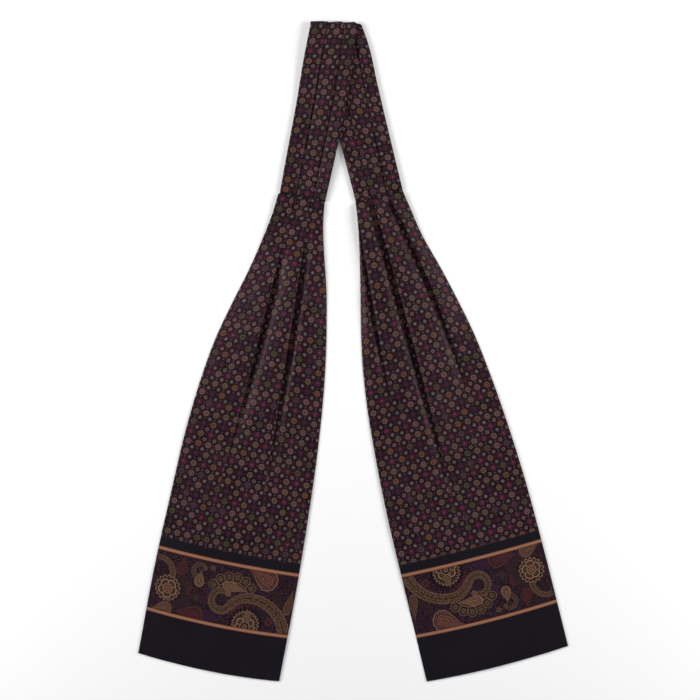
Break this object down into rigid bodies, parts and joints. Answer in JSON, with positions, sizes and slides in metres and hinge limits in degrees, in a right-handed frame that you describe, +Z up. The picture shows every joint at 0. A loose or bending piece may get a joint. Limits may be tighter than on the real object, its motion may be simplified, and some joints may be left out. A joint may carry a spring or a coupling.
{
  "type": "silk cravat",
  "caption": "Pleated silk day cravat laid flat: two wide printed blades joined by a narrow pleated neckband folded once at its middle.",
  "frame": {"origin": "centre of the footprint, on the surface the cravat lies on", "axes": "+Y runs from the hems towards the folded top of the neckband, +Z up out of the surface, +X to the right seen from above"},
  "size_m": [0.4165, 0.6398, 0.0079],
  "materials": {
    "blade_silk": "printed silk twill with a low sheen, dark ground with small rings and medallions, a paisley border and a plain end",
    "neckband_silk": "printed silk twill pressed into knife pleats, dark ground with small rings and medallions"
  },
  "bodies": {
    "root": {"blade_left": "blade_silk", "blade_right": "blade_silk", "neckband_left": "neckband_silk", "neckband_right": "neckband_silk", "neckband_fold": "neckband_silk"}
  },
  "joints": []
}
